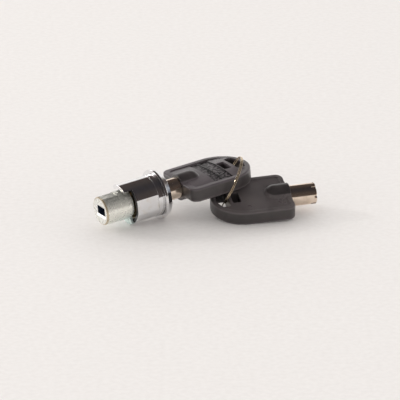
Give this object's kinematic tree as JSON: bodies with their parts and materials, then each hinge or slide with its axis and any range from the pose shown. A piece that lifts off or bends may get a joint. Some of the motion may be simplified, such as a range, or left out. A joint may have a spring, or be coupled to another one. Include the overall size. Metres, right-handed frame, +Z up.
{
  "type": "tubular key lock",
  "caption": "Round flanged tubular key lock with a pin mechanism and a socketed drive nose, a key in its keyway, and a like key joined to it by a split ring.",
  "frame": {"origin": "on the table, under the middle of the set's bounding box", "axes": "+Z up from the table, +X along the set's longest extent from the drive nose towards the second key's barrel, +Y away from the viewer"},
  "size_m": [0.0984, 0.05, 0.0242],
  "materials": {
    "chrome_plate": "polished chrome plate",
    "zinc": "satin zinc plate with a faint yellow cast",
    "nickel_plate": "bright nickel plate",
    "brass": "turned brass",
    "spring_steel": "bright drawn wire",
    "black_plastic": "satin moulded plastic"
  },
  "bodies": {
    "lock": {"lock_body": "chrome_plate", "retaining_pin": "spring_steel", "bushing": "brass", "driver_pin_1": "brass", "driver_pin_2": "brass", "driver_pin_3": "brass", "driver_pin_4": "brass", "driver_pin_5": "brass", "driver_pin_6": "brass", "driver_pin_7": "brass", "spring_1": "spring_steel", "spring_2": "spring_steel", "spring_3": "spring_steel", "spring_4": "spring_steel", "spring_5": "spring_steel", "spring_6": "spring_steel", "spring_7": "spring_steel"},
    "plug": {"spindle": "brass", "key_pin_1": "brass", "key_pin_2": "brass", "key_pin_3": "brass", "key_pin_4": "brass", "key_pin_5": "brass", "key_pin_6": "brass", "key_pin_7": "brass", "stop_washer": "zinc", "drive_nose": "zinc"},
    "key_1": {"key_1_barrel": "nickel_plate", "key_1_head": "black_plastic"},
    "ring": {"key_ring": "spring_steel"},
    "key_2": {"key_2_barrel": "nickel_plate", "key_2_head": "black_plastic"}
  },
  "joints": [
    {"name": "plug_turn", "type": "hinge", "parent": "lock", "child": "plug", "pos_m": [-0.02282, -0.00613, 0.01124], "axis": [0.8588, 0.5019, 0.1028], "range_deg": [-118, 118]},
    {"name": "key_withdraw", "type": "slide", "parent": "plug", "child": "key_1", "axis": [0.8588, 0.5019, 0.1028], "range_m": [0, 0.015]},
    {"name": "ring_spin", "type": "hinge", "parent": "key_1", "child": "ring", "pos_m": [0.01031, 0.00619, 0.01211], "axis": [-0.9014, -0.0273, 0.4322], "continuous": true},
    {"name": "second_key_swing", "type": "hinge", "parent": "key_1", "child": "key_2", "pos_m": [0.00727, -0.00396, 0.00511], "axis": [-0.2216, 0.9556, 0.194], "range_deg": [0, 22]}
  ]
}
